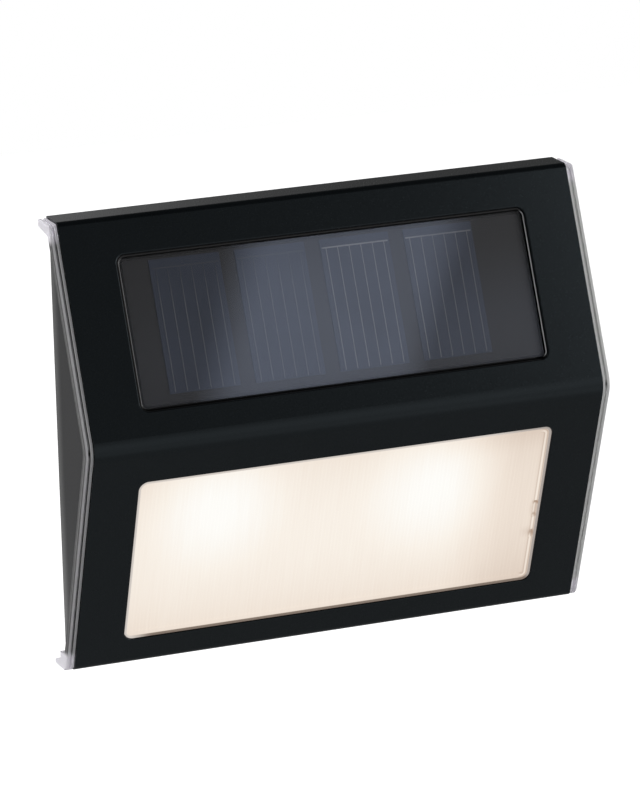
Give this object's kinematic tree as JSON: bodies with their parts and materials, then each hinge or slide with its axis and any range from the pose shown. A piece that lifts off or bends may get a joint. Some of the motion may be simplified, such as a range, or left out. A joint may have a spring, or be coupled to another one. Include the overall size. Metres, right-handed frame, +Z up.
{
  "type": "solar wall light",
  "caption": "Solar wall light with a bent black cover: a solar panel in its upper slope, a ribbed warm white lens in its lower one, and clear side lips.",
  "frame": {"origin": "on the wall plane, at the middle of the cover's width and height", "axes": "+X to the right as seen from the front, +Y into the wall, +Z up; the front faces -Y"},
  "size_m": [0.1178, 0.0254, 0.0962],
  "materials": {
    "cover_paint": "satin black paint with a fine texture",
    "foam_tape": "matte white foam tape",
    "clear_plastic": "clear moulded plastic",
    "lens_plastic": "frosted and ribbed, lit from behind",
    "reflector_white": "white",
    "panel_board": "dark laminate",
    "solar_silicon": "bluish grey silicon",
    "silver_print": "printed silver lines",
    "panel_resin": "clear resin film",
    "housing_plastic": "dark grey moulded plastic",
    "back_plastic": "black moulded plastic",
    "seal_rubber": "soft black foam",
    "screw_steel": "zinc plated",
    "cell_steel": "nickel plated",
    "cell_sleeve": "plain green shrink sleeve",
    "contact_nickel": "nickel plated spring steel",
    "board_green": "green solder mask",
    "board_white": "white solder mask",
    "chip_black": "moulded black resin",
    "ferrite": "ferrite drum",
    "capacitor_can": "bare can",
    "switch_steel": "tinned case",
    "knob_plastic": "grey-black",
    "led_resin": "clear resin with a warm phosphor",
    "wire_red": "red insulation",
    "wire_black": "black insulation"
  },
  "bodies": {
    "root": {"front_cover": "cover_paint", "cover_tape": "foam_tape", "solar_tape": "foam_tape", "clear_frame": "clear_plastic", "lens": "lens_plastic", "reflector": "reflector_white", "solar_board": "panel_board", "solar_cells": "solar_silicon", "solar_grid": "silver_print", "solar_film": "panel_resin", "housing_frame": "housing_plastic", "back_plate": "back_plastic", "back_gasket": "seal_rubber", "plate_screws": "screw_steel", "board_screws": "screw_steel", "led_board_screws": "screw_steel", "battery_cell": "cell_steel", "battery_sleeve": "cell_sleeve", "positive_contact": "contact_nickel", "negative_contact": "contact_nickel", "contact_spring": "contact_nickel", "control_board": "board_green", "led_board": "board_white", "driver_chip": "chip_black", "inductor": "ferrite", "capacitor": "capacitor_can", "switch_body": "switch_steel", "led_left": "led_resin", "led_right": "led_resin", "solar_wire_red": "wire_red", "battery_wire_red": "wire_red", "led_wire_red": "wire_red", "solar_wire_black": "wire_black", "battery_wire_black": "wire_black", "led_wire_black": "wire_black"},
    "door": {"battery_door": "back_plastic", "door_seal": "seal_rubber", "door_screw": "screw_steel"},
    "knob": {"switch_knob": "knob_plastic"}
  },
  "joints": [
    {"name": "door_hinge", "type": "hinge", "parent": "root", "child": "door", "pos_m": [-0.009, -0.0017, 0.014], "axis": [1, 0, 0], "range_deg": [0, 95]},
    {"name": "switch_slide", "type": "slide", "parent": "root", "child": "knob", "axis": [-1, 0, 0], "range_m": [0, 0.0025]}
  ]
}
